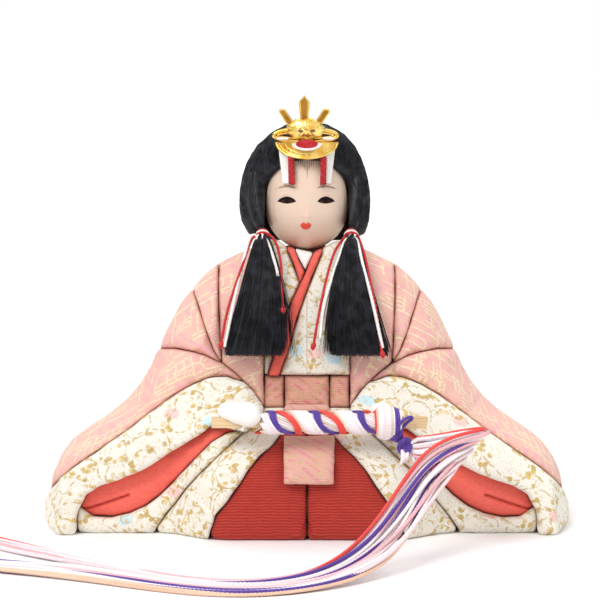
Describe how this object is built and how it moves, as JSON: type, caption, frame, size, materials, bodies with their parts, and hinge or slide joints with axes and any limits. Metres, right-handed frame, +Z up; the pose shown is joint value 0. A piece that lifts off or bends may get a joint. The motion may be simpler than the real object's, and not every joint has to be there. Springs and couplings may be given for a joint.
{
  "type": "seated court doll",
  "caption": "Seated court-lady doll in padded brocade robes and a red crepe skirt, with crown, tied hair tails, cord-wound fan and trailing cords.",
  "frame": {"origin": "on the floor, under the middle of the doll's body, cords left out", "axes": "+X to the viewer's right of the doll, the doll faces -Y, +Z up"},
  "size_m": [0.246, 0.2286, 0.1761],
  "materials": {
    "crepe_red": "fine cross-ribbed crepe, matte",
    "cream_brocade": "cream brocade with gold-thread pattern",
    "pink_brocade": "pale pink brocade with a fret pattern",
    "coral_cloth": "plain coral silk",
    "white_cloth": "white ribbed silk",
    "composite": "pressed sawdust composite, bare",
    "card": "plain card",
    "face_white": "shell-white, satin",
    "hair_black": "combed black silk",
    "gilt": "polished gilt",
    "tuft_red": "twisted crimson silk",
    "wood": "pale satin wood",
    "cord_red": "twisted silk cord",
    "cord_purple": "twisted silk cord",
    "cord_white": "twisted silk cord",
    "cord_pink": "twisted silk cord",
    "cord_peach": "twisted silk cord"
  },
  "bodies": {
    "robe": {"body_core": "composite", "base_paper": "card", "hakama_left": "crepe_red", "hakama_right": "crepe_red", "chest_left": "cream_brocade", "chest_right": "cream_brocade", "cuff_band_left": "cream_brocade", "cuff_band_right": "cream_brocade", "cuff_foot_left": "cream_brocade", "cuff_foot_right": "cream_brocade", "robe_strip_left": "cream_brocade", "robe_strip_right": "cream_brocade", "front_panel_left": "pink_brocade", "front_panel_right": "pink_brocade", "shoulder_fold_left": "pink_brocade", "shoulder_fold_right": "pink_brocade", "arm_fold_left": "pink_brocade", "arm_fold_right": "pink_brocade", "sleeve_left": "pink_brocade", "sleeve_right": "pink_brocade", "sleeve_back_left": "pink_brocade", "sleeve_back_right": "pink_brocade", "back_robe": "pink_brocade", "belt": "pink_brocade", "belt_fold_left": "pink_brocade", "belt_fold_right": "pink_brocade", "obi_roll": "pink_brocade", "obi_tail": "pink_brocade", "collar_long": "coral_cloth", "collar_short": "coral_cloth", "back_collar": "coral_cloth", "cuff_lining_left": "coral_cloth", "cuff_lining_right": "coral_cloth", "inner_collar": "white_cloth", "hand_left": "face_white", "hand_right": "face_white"},
    "neck": {"neck_peg": "wood"},
    "head": {"head": "face_white", "hair": "hair_black"},
    "crown": {"crown_plate": "gilt", "crown_crest": "gilt", "crown_tuft": "tuft_red", "crown_ribbon_left": "cord_white", "crown_ribbon_right": "cord_white"},
    "tail_left": {"hair_tail_left": "hair_black", "hair_tie_left": "tuft_red"},
    "tail_right": {"hair_tail_right": "hair_black", "hair_tie_right": "tuft_red"},
    "fan": {"fan_sticks": "wood", "fan_knot": "cord_purple", "winding_red": "cord_red", "winding_peach": "cord_peach", "winding_white": "cord_white", "winding_pink": "cord_pink", "winding_purple": "cord_purple", "cord_red": "cord_red", "cord_purple": "cord_purple", "cord_white": "cord_white", "cord_pink": "cord_pink", "cord_peach": "cord_peach"}
  },
  "joints": [
    {"name": "head_lift", "type": "slide", "parent": "robe", "child": "neck", "axis": [0, 0, 1], "range_m": [0, 0.025]},
    {"name": "head_turn", "type": "hinge", "parent": "neck", "child": "head", "pos_m": [0, 0.004, 0.0975], "axis": [0, 0, 1], "range_deg": [-4, 4]},
    {"name": "crown_lift", "type": "slide", "parent": "head", "child": "crown", "axis": [0, 0, 1], "range_m": [0, 0.012]},
    {"name": "tail_swing_left", "type": "hinge", "parent": "head", "child": "tail_left", "pos_m": [-0.01818, -0.014, 0.11965], "axis": [-1, 0, 0], "range_deg": [0, 20]},
    {"name": "tail_swing_right", "type": "hinge", "parent": "head", "child": "tail_right", "pos_m": [0.01818, -0.014, 0.11965], "axis": [-1, 0, 0], "range_deg": [0, 20]},
    {"name": "fan_slide", "type": "slide", "parent": "robe", "child": "fan", "axis": [1, 0, 0], "range_m": [0, 0.024]}
  ]
}
